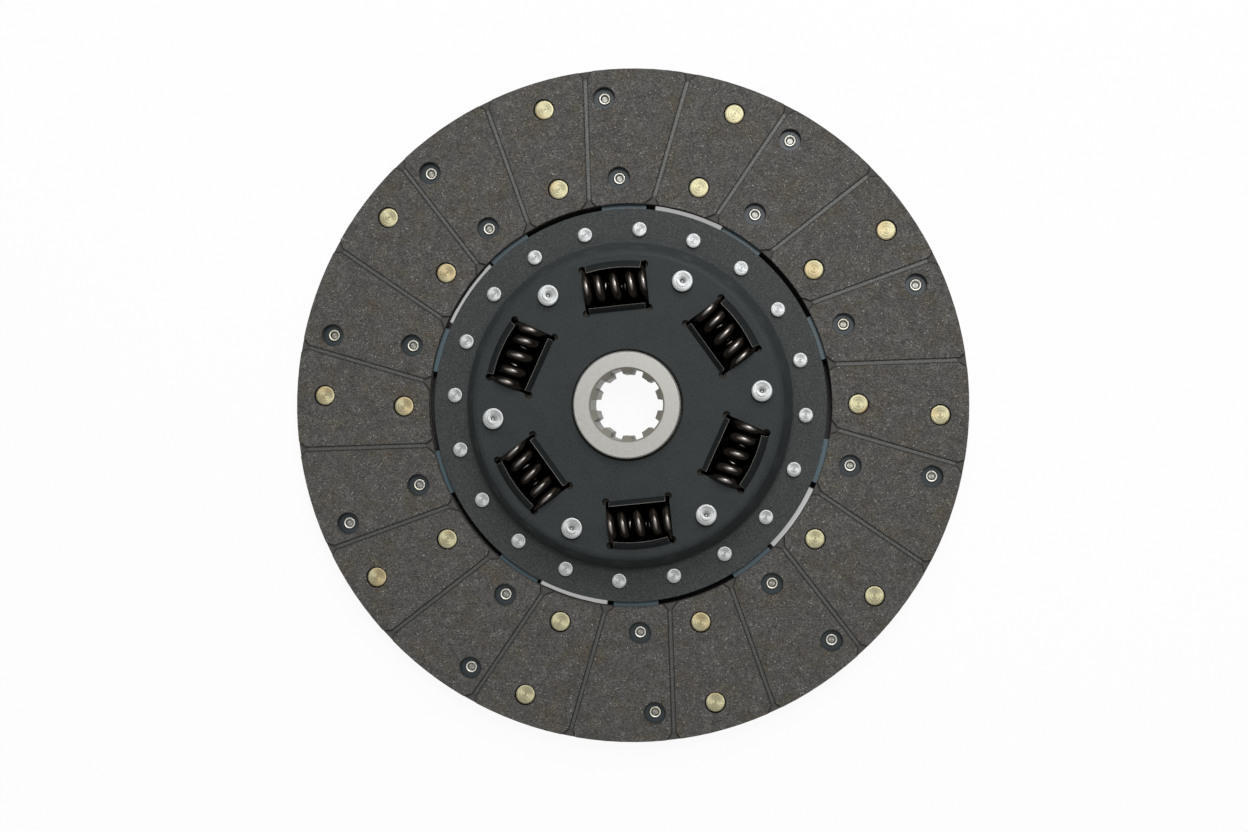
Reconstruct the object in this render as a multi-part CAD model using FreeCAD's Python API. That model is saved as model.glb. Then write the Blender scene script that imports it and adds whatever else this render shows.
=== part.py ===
"""Dry clutch disc with a splined hub and a six-spring torsion damper.

Lengths are in millimetres and angles in degrees. The disc lies flat: +Z is the hub's axis and
points out of the side with the dished drive plate, and the origin is the centre of the hub's
lower end face, on which the disc rests. Angles run anticlockwise from +X, seen from +Z.
"""
import FreeCAD, Part
import math
import os

# Splines of the hub's bore: ten straight teeth, major diameter 34.92
spline_count = 10
spline_major_radius = 17.46
spline_minor_ratio = 0.86
spline_width_ratio = 0.156
front_chamfer_size = 0.69
rear_chamfer_size = 0.44

# Hub: a splined barrel with a flange of forked arms between the two plates
hub_wall = 8.54
hub_rear_step = 1.5
hub_stand_out = 4.6
hub_flange_thickness = 6.0
hub_flange_setback = 1.2
hub_edge_bevel = 0.6

# Damper: nested coil springs in windows of the hub flange and of both plates
spring_count = 6
spring_radius = 12.0
wire_radius = 2.9
wire_sides = 8
turns_each_way = 2.4
open_turns_each_way = 1.0
steps_per_turn = 12
inner_spring_clearance = 0.3
inner_wire_radius = 1.6
inner_wire_sides = 6
inner_turns_each_way = 3.5
inner_open_turns_each_way = 2.6
inner_steps_per_turn = 10
coil_gap = 0.2
ground_share = 0.35
window_angle = 35.85
window_half_length = 15.5
hub_to_window = 19.7
spring_end_gap = 0.25
pocket_clearance = 0.4
lip_thickness = 2.0
inner_lip_reach = 2.35
outer_lip_reach = 3.35
relief_radius = 1.8
relief_setback = 0.3
outer_relief_inset = 1.1

# Stop pins: they tie the plates together and limit the twist in the forks of the hub flange
pin_angle = 5.85
pin_inset = 7.7
pin_radius = 5.0
pin_tenon_radius = 3.8
pin_head_radius = 5.1
pin_head_height = 3.0
pin_head_bevel = 0.35
pin_dimple_radius = 1.1
pin_dimple_depth = 1.0
twist_limit = 3.5
fork_clearance = 0.4

# Plates: the drive plate is dished forward, and the flat retainer plate lies inside the dish
plate_thickness = 3.0
plate_hub_clearance = 0.5
retainer_rim = 3.3
retainer_dish_gap = 2.3
dish_rise = 16.0
dish_run = 4.7
shoulder_bend = 0.6
foot_bend = 1.2
drive_plate_rim = 2.0

# Friction washers beside the hub flange, and the wave washer that presses on them
washer_window_gap = 3.7
washer_bore_clearance = 0.4
front_washer_thickness = 1.4
wave_washer_height = 0.6
wave_washer_sheet = 0.3
wave_count = 4

# Cushion paddles: blued spring steel, one half flat and the other half crimped forward
paddle_count = 10
paddle_angle = 28.46
paddle_sheet = 0.9
paddle_crimp = 1.0
crimp_start = -2.0
crimp_end = 8.0
blade_half_angle = 16.6
blade_corner = 3.0
neck_angle = -8.7
neck_half_angle = 6.45
tab_foot_gap = 2.5
tab_depth = 12.0
tab_angle = -4.76
tab_half_angle = 14.0

# Rivets that hold the paddles to the drive plate, two through each paddle's tab
plate_rivet_angle = 14.7
plate_rivet_inset = 3.8
plate_rivet_head_radius = 3.6
plate_rivet_head_height = 1.7
plate_rivet_bevel = 0.3
plate_rivet_shank_radius = 2.5

# Friction facings: two rings of moulded lining, the rear one turned over; outer diameter 330.2
facing_plate_gap = 2.5
facing_thickness = 3.6
blade_bore_setback = 2.5
blade_rim_setback = 4.1
hub_end_to_front_face = 15.0

# Facing rivets: two circles, half of them headed on each side of the disc
inner_rivet_inset = 10.2
rivet_circle_spacing = 39.6
outer_rivet_inset = 9.7
outer_rivet_angle = 5.72
inner_rivet_angle = 7.79
facing_rivet_head_radius = 4.75
facing_rivet_head_height = 1.2
facing_rivet_bevel = 0.2
facing_rivet_shank_radius = 2.4
facing_rivet_recess = 1.0
counterbore_clearance = 0.4
rivet_hole_clearance = 0.05
clinch_flare = 0.7
clinch_height = 0.8
clinch_hollow_radius = 1.6
clinch_hollow_depth = 1.8
clinch_hole_clearance = 2.3

# Grooves that let air and dust out of the facings: straight, but passing beside the axis
groove_count = 20
groove_width = 2.4
groove_depth = 1.0
groove_offset = 16.5
groove_direction = 1.92
groove_mouth_length = 3.2
groove_mouth_spread = 2.2

# How far a cutting solid runs past what it cuts
overrun = 1.0

# Radii from the hub outwards, each set on the one inside it
spline_minor_radius = spline_major_radius * spline_minor_ratio
spline_width = 2 * spline_major_radius * spline_width_ratio
hub_front_radius = spline_major_radius + hub_wall
hub_rear_radius = hub_front_radius - hub_rear_step
plate_bore_radius = hub_front_radius + plate_hub_clearance
washer_bore_radius = hub_front_radius + washer_bore_clearance
window_inner = hub_front_radius + hub_to_window
washer_outer_radius = window_inner - washer_window_gap
spring_circle = window_inner + spring_radius
window_outer = spring_circle + spring_radius
retainer_radius = window_outer + retainer_rim
hub_flange_radius = retainer_radius - hub_flange_setback
pin_circle = retainer_radius - pin_inset
dish_shoulder_radius = retainer_radius + retainer_dish_gap
dish_foot_radius = dish_shoulder_radius + dish_run
tab_inner_radius = dish_foot_radius + tab_foot_gap
plate_rivet_circle = tab_inner_radius + plate_rivet_inset
tab_outer_radius = tab_inner_radius + tab_depth
drive_plate_radius = tab_outer_radius + drive_plate_rim
facing_bore_radius = drive_plate_radius + facing_plate_gap
blade_inner_radius = facing_bore_radius + blade_bore_setback
inner_rivet_circle = blade_inner_radius + inner_rivet_inset
outer_rivet_circle = inner_rivet_circle + rivet_circle_spacing
blade_outer_radius = outer_rivet_circle + outer_rivet_inset
facing_outer_radius = blade_outer_radius + blade_rim_setback

# Levels along the axis, from the front face
front_face_z = hub_end_to_front_face
front_facing_back_z = front_face_z - facing_thickness
facing_seat_z = front_face_z - facing_rivet_recess - facing_rivet_head_height
paddle_top_z = front_facing_back_z - paddle_crimp
paddle_bottom_z = paddle_top_z - paddle_sheet
rear_face_z = paddle_bottom_z - facing_thickness
flange_top_z = paddle_top_z + plate_thickness
plateau_top_z = flange_top_z + dish_rise
plateau_under_z = plateau_top_z - plate_thickness
hub_length = plateau_top_z + hub_stand_out
flange_front_z = plateau_under_z - front_washer_thickness
flange_rear_z = flange_front_z - hub_flange_thickness
damper_z = (flange_front_z + flange_rear_z) / 2
retainer_top_z = flange_rear_z - front_washer_thickness
retainer_bottom_z = retainer_top_z - plate_thickness
rear_washer_z = retainer_top_z + wave_washer_height

# Fits of the springs and the pins
coil_radius = spring_radius - wire_radius
inner_coil_radius = coil_radius - wire_radius - inner_spring_clearance - inner_wire_radius
spring_half_length = window_half_length - spring_end_gap
pocket_radius = spring_radius + pocket_clearance
pin_travel = pin_circle * math.sin(math.radians(twist_limit))
fork_half_width = pin_radius + pin_travel + fork_clearance

UP = FreeCAD.Vector(0, 0, 1)
ORIGIN = FreeCAD.Vector(0, 0, 0)


def point(x, y, z=0.0):
    return FreeCAD.Vector(x, y, z)


def polar(radius, angle, z=0.0):
    """Point at a radius and an angle about the disc's axis."""
    turn = math.radians(angle)
    return point(radius * math.cos(turn), radius * math.sin(turn), z)


def pitch_circle(radius, count, first_angle):
    """Centres of evenly spaced holes or fasteners."""
    return [polar(radius, first_angle + 360.0 / count * i) for i in range(count)]


def turned(shape, angle):
    """Copy of a shape, turned about the disc's axis."""
    copy = shape.copy()
    copy.rotate(ORIGIN, UP, angle)
    return copy


def ring_of(shape, count, first_angle=0.0):
    """Copies of a shape, evenly spaced about the axis."""
    return [turned(shape, first_angle + 360.0 / count * i) for i in range(count)]


def turned_over(shape):
    """Front piece turned over about the middle of a paddle, which makes the rear one."""
    copy = shape.copy()
    middle = point(0, 0, (front_face_z + rear_face_z) / 2)
    copy.rotate(middle, polar(1, paddle_angle), 180)
    return copy


def outline(corners):
    """Flat face inside a closed run of corners."""
    return Part.Face(Part.makePolygon([*corners, corners[0]]))


def spun(profile, centre=ORIGIN):
    """Solid of revolution about an upright axis, from (radius, height) corners."""
    face = outline([point(centre.x + r, centre.y, z) for r, z in profile])
    return face.revolve(centre, UP, 360)


def ring(outer, bore, bottom, top):
    """Flat ring between two heights."""
    return spun([(bore, bottom), (outer, bottom), (outer, top), (bore, top)])


def peg(radius, bottom, top, centre):
    """Upright cylinder about a point of the plan."""
    return Part.makeCylinder(radius, top - bottom, point(centre.x, centre.y, bottom))


def block(x0, x1, y0, y1, z0, z1):
    return Part.makeBox(x1 - x0, y1 - y0, z1 - z0, point(x0, y0, z0))


def sector(inner, outer, middle_angle, half_angle, bottom, top):
    """Part of a flat ring between two angles."""
    first = middle_angle - half_angle
    side = outline(
        [
            polar(inner, first, bottom),
            polar(outer, first, bottom),
            polar(outer, first, top),
            polar(inner, first, top),
        ]
    )
    return side.revolve(ORIGIN, UP, 2 * half_angle)


def rounded_corners(shape, radius, distances):
    """Rounds the upright edges that stand at one of the given distances from the axis."""
    edges = []
    for edge in shape.Edges:
        ends = [vertex.Point for vertex in edge.Vertexes]
        upright = len(ends) == 2 and math.hypot(*(ends[0] - ends[1])[:2]) < 0.001
        away = math.hypot(ends[0].x, ends[0].y)
        if upright and any(abs(away - distance) < 0.01 for distance in distances):
            edges.append(edge)
    return shape.makeFillet(radius, edges)


def is_circle(edge, radius, height):
    """Whether an edge is a circle of that radius and height about the axis."""
    curve = edge.Curve
    if not isinstance(curve, Part.Circle):
        return False
    return abs(curve.Radius - radius) < 0.001 and abs(curve.Center.z - height) < 0.001


def faceted(sections, closed=False):
    """Solid with flat facets between successive sections; a closed one runs round to its start."""
    following = sections[1:] + sections[:1] if closed else sections[1:]
    faces = []
    for here, after in zip(sections, following):
        for k in range(len(here)):
            n = (k + 1) % len(here)
            faces.append(outline([here[k], here[n], after[n]]))
            faces.append(outline([here[k], after[n], after[k]]))
    if not closed:
        faces.append(outline(sections[0]))
        faces.append(outline(sections[-1]))
    return Part.Solid(Part.Shell(faces))


def hub():
    """Splined barrel with a flange whose arms fork round the stop pins."""
    barrel = spun(
        [
            (spline_minor_radius, 0),
            (hub_rear_radius - hub_edge_bevel, 0),
            (hub_rear_radius, hub_edge_bevel),
            (hub_rear_radius, flange_rear_z),
            (hub_flange_radius, flange_rear_z),
            (hub_flange_radius, flange_front_z),
            (hub_front_radius, flange_front_z),
            (hub_front_radius, hub_length - hub_edge_bevel),
            (hub_front_radius - hub_edge_bevel, hub_length),
            (spline_minor_radius, hub_length),
        ]
    )
    past = hub_flange_radius + overrun
    low, high = flange_rear_z, flange_front_z
    pocket = block(window_inner, past, -window_half_length, window_half_length, low, high)
    fork = block(pin_circle, past, -fork_half_width, fork_half_width, low, high)
    fork = fork.fuse(peg(fork_half_width, low, high, point(pin_circle, 0)))
    cuts = ring_of(pocket, spring_count, window_angle)
    cuts += ring_of(fork, spring_count, pin_angle)
    bore = Part.makeCylinder(spline_major_radius, hub_length)
    half = spline_width / 2
    tooth_space = block(0, spline_major_radius + overrun, -half, half, 0, hub_length).common(bore)
    cuts += ring_of(tooth_space, spline_count)
    cuts.append(bore_chamfer(hub_length, front_chamfer_size, -1))
    cuts.append(bore_chamfer(0, rear_chamfer_size, 1))
    return barrel.cut(cuts)


def bore_chamfer(end_z, size, inward):
    """Cone that opens one end of the splined bore to beyond the tooth spaces."""
    mouth = spline_major_radius + size
    tip_z = end_z + inward * (mouth - spline_minor_radius)
    return spun([(0, end_z), (mouth, end_z), (spline_minor_radius, tip_z), (0, tip_z)])


def spring_bore(radius, half_length):
    """Cylinder along a damper spring placed at +X."""
    start = point(spring_circle, -half_length, damper_z)
    return Part.makeCylinder(radius, 2 * half_length, start, point(0, 1, 0))


def spring_section(radius):
    """Flat round face across the middle of the spring at +X."""
    circle = Part.makeCircle(radius, point(spring_circle, 0, damper_z), point(0, 1, 0))
    return Part.Face(Part.Wire(circle))


def window_opening(bottom, top):
    """Opening of one window at +X, with an arched outer side and round corner reliefs."""
    half = window_half_length
    opening = block(window_inner, window_outer + overrun, -half, half, bottom, top)
    opening = opening.common(Part.makeCylinder(window_outer, top - bottom, point(0, 0, bottom)))
    corner = math.sqrt(window_outer**2 - half**2) - outer_relief_inset
    reliefs = []
    for side in (-1, 1):
        across = side * (half - relief_setback)
        reliefs.append(peg(relief_radius, bottom, top, point(window_inner, across)))
        reliefs.append(peg(relief_radius, bottom, top, point(corner, across)))
    return opening.fuse(reliefs)


def window_lips():
    """Curved lips over the front of one spring at +X, straight inside and arched outside."""
    half = window_half_length - relief_radius
    reach = pocket_radius + lip_thickness
    inner_tip = spring_radius - inner_lip_reach
    outer_tip = spring_radius - outer_lip_reach
    base, crown = plateau_under_z, damper_z + reach
    tube = spring_bore(reach, half).cut(spring_bore(pocket_radius, half))
    inner_side = block(spring_circle - reach, spring_circle - inner_tip, -half, half, base, crown)
    inner_lip = tube.common(inner_side)
    corner = outline(
        [
            point(spring_circle + outer_tip, 0, base),
            point(spring_circle + reach, 0, base),
            point(spring_circle + reach, 0, crown),
            point(spring_circle + outer_tip, 0, crown),
        ]
    )
    section = spring_section(reach).cut(spring_section(pocket_radius)).common(corner)
    swing = math.degrees(math.asin(half / window_outer))
    arch = turned(section.Faces[0], -swing).revolve(ORIGIN, UP, 2 * swing)
    return inner_lip, arch.cut(spring_bore(pocket_radius, window_half_length))


def windowed(plate, bottom, top, rear=False):
    """Plate with its windows cut and their lips joined on."""
    middle = point(0, 0, damper_z)
    joined = []
    for lip in window_lips():
        lip = lip.mirror(middle, UP) if rear else lip
        joined += ring_of(lip, spring_count, window_angle)
    cuts = ring_of(window_opening(bottom, top), spring_count, window_angle)
    return plate.cut(cuts).fuse(joined).removeSplitter()


def drive_plate():
    """Dished plate: a flat flange for the paddles, a steep wall and a raised centre."""
    slope = math.atan2(dish_rise, dish_run)
    inset = plate_thickness * math.tan(slope / 2)
    profile = [
        (plate_bore_radius, plateau_top_z),
        (dish_shoulder_radius, plateau_top_z),
        (dish_foot_radius, flange_top_z),
        (drive_plate_radius, flange_top_z),
        (drive_plate_radius, paddle_top_z),
        (dish_foot_radius - inset, paddle_top_z),
        (dish_shoulder_radius - inset, plateau_under_z),
        (plate_bore_radius, plateau_under_z),
    ]
    plate = spun(profile)
    bends = [
        (profile[1], shoulder_bend + plate_thickness),
        (profile[6], shoulder_bend),
        (profile[2], foot_bend),
        (profile[5], foot_bend + plate_thickness),
    ]
    for (radius, height), bend in bends:
        edges = [edge for edge in plate.Edges if is_circle(edge, radius, height)]
        plate = plate.makeFillet(bend, edges)
    plate = windowed(plate, plateau_under_z, plateau_top_z)
    hole = plate_rivet_shank_radius + rivet_hole_clearance
    holes = [peg(hole, paddle_top_z, flange_top_z, centre) for centre in plate_rivet_centres()]
    hole = pin_tenon_radius + rivet_hole_clearance
    holes += [peg(hole, plateau_under_z, plateau_top_z, centre) for centre in pin_centres()]
    return plate.cut(holes)


def retainer_plate():
    """Flat rear plate inside the dish, with the same windows and lips facing the rear."""
    plate = ring(retainer_radius, plate_bore_radius, retainer_bottom_z, retainer_top_z)
    plate = windowed(plate, retainer_bottom_z, retainer_top_z, rear=True)
    hole = pin_tenon_radius + rivet_hole_clearance
    bottom, top = retainer_bottom_z, retainer_top_z
    return plate.cut([peg(hole, bottom, top, centre) for centre in pin_centres()])


def pin_centres():
    return pitch_circle(pin_circle, spring_count, pin_angle)


def stop_pins():
    """Shouldered pins between the plates, with heads clinched outside and dimpled in front."""
    front_z = plateau_top_z + pin_head_height
    rear_z = retainer_bottom_z - pin_head_height
    profile = [
        (0, rear_z),
        (pin_head_radius - pin_head_bevel, rear_z),
        (pin_head_radius, rear_z + pin_head_bevel),
        (pin_head_radius, retainer_bottom_z),
        (pin_tenon_radius, retainer_bottom_z),
        (pin_tenon_radius, retainer_top_z),
        (pin_radius, retainer_top_z),
        (pin_radius, plateau_under_z),
        (pin_tenon_radius, plateau_under_z),
        (pin_tenon_radius, plateau_top_z),
        (pin_head_radius, plateau_top_z),
        (pin_head_radius, front_z - pin_head_bevel),
        (pin_head_radius - pin_head_bevel, front_z),
        (pin_dimple_radius, front_z),
        (0, front_z - pin_dimple_depth),
    ]
    return Part.makeCompound([spun(profile, centre) for centre in pin_centres()])


def plate_rivet_centres():
    return pitch_circle(plate_rivet_circle, 2 * paddle_count, plate_rivet_angle)


def plate_rivets():
    """Solid rivets through the drive plate and the paddles' tabs, headed on both sides."""
    front_z = flange_top_z + plate_rivet_head_height
    rear_z = paddle_bottom_z - plate_rivet_head_height
    profile = [
        (0, rear_z),
        (plate_rivet_head_radius - plate_rivet_bevel, rear_z),
        (plate_rivet_head_radius, rear_z + plate_rivet_bevel),
        (plate_rivet_head_radius, paddle_bottom_z),
        (plate_rivet_shank_radius, paddle_bottom_z),
        (plate_rivet_shank_radius, flange_top_z),
        (plate_rivet_head_radius, flange_top_z),
        (plate_rivet_head_radius, front_z - plate_rivet_bevel),
        (plate_rivet_head_radius - plate_rivet_bevel, front_z),
        (0, front_z),
    ]
    return Part.makeCompound([spun(profile, centre) for centre in plate_rivet_centres()])


def damper_spring():
    """Outer spring of a window, placed at +X."""
    steps = round(2 * turns_each_way * steps_per_turn)
    path = coil_path(wire_radius, coil_radius, turns_each_way, open_turns_each_way)
    return coil_spring(path, wire_radius, wire_sides, steps)


def inner_spring():
    """Inner spring of a window at +X, wound the other way so that the coils can't catch."""
    steps = round(2 * inner_turns_each_way * inner_steps_per_turn)
    path = coil_path(
        inner_wire_radius, inner_coil_radius, inner_turns_each_way, inner_open_turns_each_way, hand=-1
    )
    return coil_spring(path, inner_wire_radius, inner_wire_sides, steps)


def coil_path(wire, coil, turns, open_turns, hand=1):
    """Function for the middle of a spring's wire, by the share of its turns run from -1 to 1."""
    closed_pitch = 2 * wire + coil_gap
    closed_length = closed_pitch * (turns - open_turns)
    open_length = spring_half_length + ground_share * wire - closed_length

    def middle(share):
        away = abs(share) * turns
        distance = open_length * min(away / open_turns, 1.0)
        distance += closed_pitch * max(away - open_turns, 0.0)
        swing = 2 * math.pi * turns * share
        return point(
            spring_circle + coil * math.sin(swing),
            hand * math.copysign(distance, share),
            damper_z + coil * math.cos(swing),
        )

    return middle


def coil_spring(path, wire, sides, steps):
    """Coil spring at +X with closed ends, ground flat to bear on the window ends."""
    sections = []
    for i in range(steps + 1):
        share = 2 * i / steps - 1
        middle = path(share)
        along = (path(share + 0.004) - path(share - 0.004)).normalize()
        outward = middle - point(spring_circle, middle.y, damper_z)
        outward = (outward - along * outward.dot(along)).normalize()
        side = along.cross(outward)
        corners = []
        for k in range(sides):
            angle = 2 * math.pi * (k + 0.5) / sides
            reach = outward * math.cos(angle) + side * math.sin(angle)
            corners.append(middle + reach * wire)
        sections.append(corners)
    return faceted(sections).common(spring_bore(pocket_radius, spring_half_length))


def wave_washer():
    """Thin sprung ring between the retainer plate and the rear friction washer."""
    lift = wave_washer_height - wave_washer_sheet
    steps = wave_count * 8
    sections = []
    for i in range(steps):
        angle = 360.0 / steps * i
        low = retainer_top_z + lift * (1 - math.cos(math.radians(angle * wave_count))) / 2
        high = low + wave_washer_sheet
        corners = [
            polar(washer_bore_radius, angle, low),
            polar(washer_outer_radius, angle, low),
            polar(washer_outer_radius, angle, high),
            polar(washer_bore_radius, angle, high),
        ]
        sections.append(corners)
    return faceted(sections, closed=True)


def cushion_paddle():
    """Paddle about +X: a crimped blade between the facings, a neck and a tab under the plate."""
    low, high = paddle_bottom_z, paddle_top_z
    reach = blade_outer_radius + overrun
    section = [
        (-reach, low),
        (crimp_start, low),
        (crimp_end, low + paddle_crimp),
        (reach, low + paddle_crimp),
        (reach, high + paddle_crimp),
        (crimp_end, high + paddle_crimp),
        (crimp_start, high),
        (-reach, high),
    ]
    sheet = outline([point(0, y, z) for y, z in section]).extrude(point(reach, 0, 0))
    inner, outer = blade_inner_radius, blade_outer_radius
    blade = sector(inner, outer, 0, blade_half_angle, low, high + paddle_crimp)
    blade = rounded_corners(blade, blade_corner, [inner, outer]).common(sheet)
    neck_inner = (tab_inner_radius + tab_outer_radius) / 2
    neck_outer = (blade_inner_radius + inner_rivet_circle) / 2
    neck = sector(neck_inner, neck_outer, neck_angle, neck_half_angle, low, high)
    tab = sector(tab_inner_radius, tab_outer_radius, tab_angle, tab_half_angle, low, high)
    tab = rounded_corners(tab, blade_corner, [tab_inner_radius, tab_outer_radius])
    holes = []
    hole = facing_rivet_shank_radius + rivet_hole_clearance
    for side in (-1, 1):
        for centre in rivet_pair(side, 0):
            holes.append(peg(hole, low, high + paddle_crimp, centre))
    hole = plate_rivet_shank_radius + rivet_hole_clearance
    spacing = 180.0 / paddle_count
    for i in (0, 1):
        angle = plate_rivet_angle - paddle_angle + spacing * i
        holes.append(peg(hole, low, high, polar(plate_rivet_circle, angle)))
    return blade.fuse([neck, tab]).removeSplitter().cut(holes)


def rivet_pair(side, middle):
    """Centres of one paddle's two facing rivets on a side: +1 for the front, -1 for the rear."""
    return [
        polar(outer_rivet_circle, middle + side * outer_rivet_angle),
        polar(inner_rivet_circle, middle + side * inner_rivet_angle),
    ]


def facing_rivet_centres(side):
    """Centres of all facing rivets that are headed on a side."""
    centres = []
    for i in range(paddle_count):
        centres += rivet_pair(side, paddle_angle + 360.0 / paddle_count * i)
    return centres


def facing_groove():
    """One groove with flared mouths, cut into the front face."""
    inner_end = math.sqrt(facing_bore_radius**2 - groove_offset**2)
    outer_end = math.sqrt(facing_outer_radius**2 - groove_offset**2)
    half = groove_width / 2
    floor_z = front_face_z - groove_depth
    corners = []
    for side in (-1, 1):
        narrow = groove_offset + side * half
        wide = narrow + side * (groove_mouth_spread + overrun)
        edge = [
            point(inner_end - overrun, wide, floor_z),
            point(inner_end + groove_mouth_length, narrow, floor_z),
            point(outer_end - groove_mouth_length, narrow, floor_z),
            point(outer_end + overrun, wide, floor_z),
        ]
        corners += edge[::-side]
    return outline(corners).extrude(point(0, 0, groove_depth))


def front_facing():
    """Friction facing with grooves, counterbores for its own rivets and holes for the others."""
    back_z = front_facing_back_z
    lining = ring(facing_outer_radius, facing_bore_radius, back_z, front_face_z)
    cuts = ring_of(facing_groove(), groove_count, groove_direction)
    counterbore = facing_rivet_head_radius + counterbore_clearance
    shank_hole = facing_rivet_shank_radius + rivet_hole_clearance
    for centre in facing_rivet_centres(1):
        cuts.append(peg(counterbore, facing_seat_z, front_face_z, centre))
        cuts.append(peg(shank_hole, back_z, facing_seat_z, centre))
    clinch_hole = facing_rivet_shank_radius + clinch_flare + clinch_hole_clearance
    for centre in facing_rivet_centres(-1):
        cuts.append(peg(clinch_hole, back_z, front_face_z, centre))
    return lining.cut(cuts)


def front_facing_rivets():
    """Rivets headed in the front facing, with hollow ends clinched under the raised sheet."""
    head_z = facing_seat_z + facing_rivet_head_height
    sheet_z = paddle_bottom_z + paddle_crimp
    end_z = sheet_z - clinch_height
    clinch = facing_rivet_shank_radius + clinch_flare
    profile = [
        (clinch_hollow_radius, end_z),
        (clinch, end_z),
        (clinch, sheet_z),
        (facing_rivet_shank_radius, sheet_z),
        (facing_rivet_shank_radius, facing_seat_z),
        (facing_rivet_head_radius, facing_seat_z),
        (facing_rivet_head_radius, head_z - facing_rivet_bevel),
        (facing_rivet_head_radius - facing_rivet_bevel, head_z),
        (0, head_z),
        (0, end_z + clinch_hollow_depth),
        (clinch_hollow_radius, end_z + clinch_hollow_depth),
    ]
    return Part.makeCompound([spun(profile, centre) for centre in facing_rivet_centres(1)])


def save(name, shape):
    """Writes one sub-part's solid or group of solids."""
    print(name, "solids", len(shape.Solids), "volume", round(shape.Volume), shape.isValid())
    shape.exportStep("parts/" + name + ".step")


def main():
    os.makedirs("parts", exist_ok=True)
    save("hub", hub())
    save("drive_plate", drive_plate())
    save("retainer_plate", retainer_plate())
    save("stop_pins", stop_pins())
    save("plate_rivets", plate_rivets())
    save("front_facing", front_facing())
    save("rear_facing", turned_over(front_facing()))
    save("front_facing_rivets", front_facing_rivets())
    save("rear_facing_rivets", turned_over(front_facing_rivets()))
    for i, paddle in enumerate(ring_of(cushion_paddle(), paddle_count, paddle_angle)):
        save(f"cushion_paddle_{i + 1}", paddle)
    for i, spring in enumerate(ring_of(damper_spring(), spring_count, window_angle)):
        save(f"damper_spring_{i + 1}", spring)
    for i, spring in enumerate(ring_of(inner_spring(), spring_count, window_angle)):
        save(f"inner_spring_{i + 1}", spring)
    washer = ring(washer_outer_radius, washer_bore_radius, flange_front_z, plateau_under_z)
    save("front_friction_washer", washer)
    washer = ring(washer_outer_radius, washer_bore_radius, rear_washer_z, flange_rear_z)
    save("rear_friction_washer", washer)
    save("wave_washer", wave_washer())


main()
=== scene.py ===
"""Clutch disc: finishes, coil springs, turned rivets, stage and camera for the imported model.

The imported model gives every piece's place. Lengths are in metres, except in the finishes, where
they are in millimetres, and +Z points out of the side with the dished plate.
"""

import math

import bpy
from bpy.props import FloatProperty, FloatVectorProperty, PointerProperty
from mathutils import Matrix, Vector


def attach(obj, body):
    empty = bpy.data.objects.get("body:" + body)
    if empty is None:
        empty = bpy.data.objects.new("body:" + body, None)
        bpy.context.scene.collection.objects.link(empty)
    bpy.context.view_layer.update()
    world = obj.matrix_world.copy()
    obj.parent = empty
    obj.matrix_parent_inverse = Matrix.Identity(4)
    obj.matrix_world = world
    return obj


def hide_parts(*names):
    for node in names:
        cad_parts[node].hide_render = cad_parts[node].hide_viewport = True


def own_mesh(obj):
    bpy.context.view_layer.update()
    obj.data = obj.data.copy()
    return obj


bl_info = {
    "name": "Clutch Disc",
    "version": (1, 0, 0),
    "blender": (4, 5, 0),
    "location": "View3D > Sidebar > Clutch Disc",
    "description": "Dresses a packed clutch disc with its finishes, springs and rivets",
    "category": "Object",
}

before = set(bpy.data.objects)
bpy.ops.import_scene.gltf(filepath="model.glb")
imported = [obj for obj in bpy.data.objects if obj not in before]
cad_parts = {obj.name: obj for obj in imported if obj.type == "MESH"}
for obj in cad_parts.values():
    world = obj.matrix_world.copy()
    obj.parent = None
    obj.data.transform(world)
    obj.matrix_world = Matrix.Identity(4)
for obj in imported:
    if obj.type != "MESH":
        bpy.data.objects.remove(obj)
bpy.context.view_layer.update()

MM = 0.001

# Pieces that repeat about the axis, and the angle of the first of each in degrees from +X
WINDOWS = 6
WINDOW_ANGLE = 35.85
PIN_ANGLE = 5.85
PADDLES = [f"cushion_paddle_{number}" for number in range(1, 11)]
PADDLE_ANGLE = 28.46
INNER_RIVET_ANGLE = PADDLE_ANGLE + 7.79
OUTER_RIVET_ANGLE = PADDLE_ANGLE + 5.72
PLATE_RIVETS = 2 * len(PADDLES)
PLATE_RIVET_ANGLE = 14.7

# Level of the middle between the two facings
PADDLE_MIDDLE_Z = 10.45 * MM

# How finely the round pieces are made: sides, steps in a turn, and the sharpest bend shaded smooth
LATHE_SIDES = 48
LATHE_BEND = math.radians(35)
WIRE_SIDES = 16
COIL_STEPS = 40
WIRE_BEND = math.radians(40)

# A spring's wire runs past its ground end by this share of the wire's radius
GROUND_SHARE = 0.35

# Where the finishes change, in millimetres. Radii are about the disc's axis. The plate's level is
# above the resting plane, and the groove floors' is from the middle between the facings.
BORE_EDGE = 18.0
FLANGE_START = 27.2
PLATE_HOLE = 26.9
DISH_START = 76.0
DISH_END = 83.0
PLATE_RIM = 90.0
NECK_END = 99.5
FACING_BORE = 101.5
INNER_MOUTHS = 102.0
OUTER_MOUTHS = 162.0
PLATE_TOP = 29.4
GROOVE_FLOOR = 3.55

# Camera fitted to the disc's circles
CAMERA_PLACE = (0.069823, -0.008899, 1.036696)
CAMERA_TURN = (
    (0.997495, 0.0, 0.070731),
    (0.000246, 0.999994, -0.003464),
    (-0.070731, 0.003473, 0.997489),
)
CAMERA_LENS = 60.28
CAMERA_SENSOR = 36.0

WHITE = (1.0, 1.0, 1.0, 1.0)
FLOOR_WIDTH = 6.0
FLOOR_THICKNESS = 0.02

# Slits round the drive plate in which the floor is painted lighter as painted light, by the angles of their
# middles and half their length in degrees. The slits opposite them are painted lighter too.
PAINTED_LIGHT_SLITS = (73.0, 145.3)
PAINTED_LIGHT_SLIT_REACH = 10.0


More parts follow.
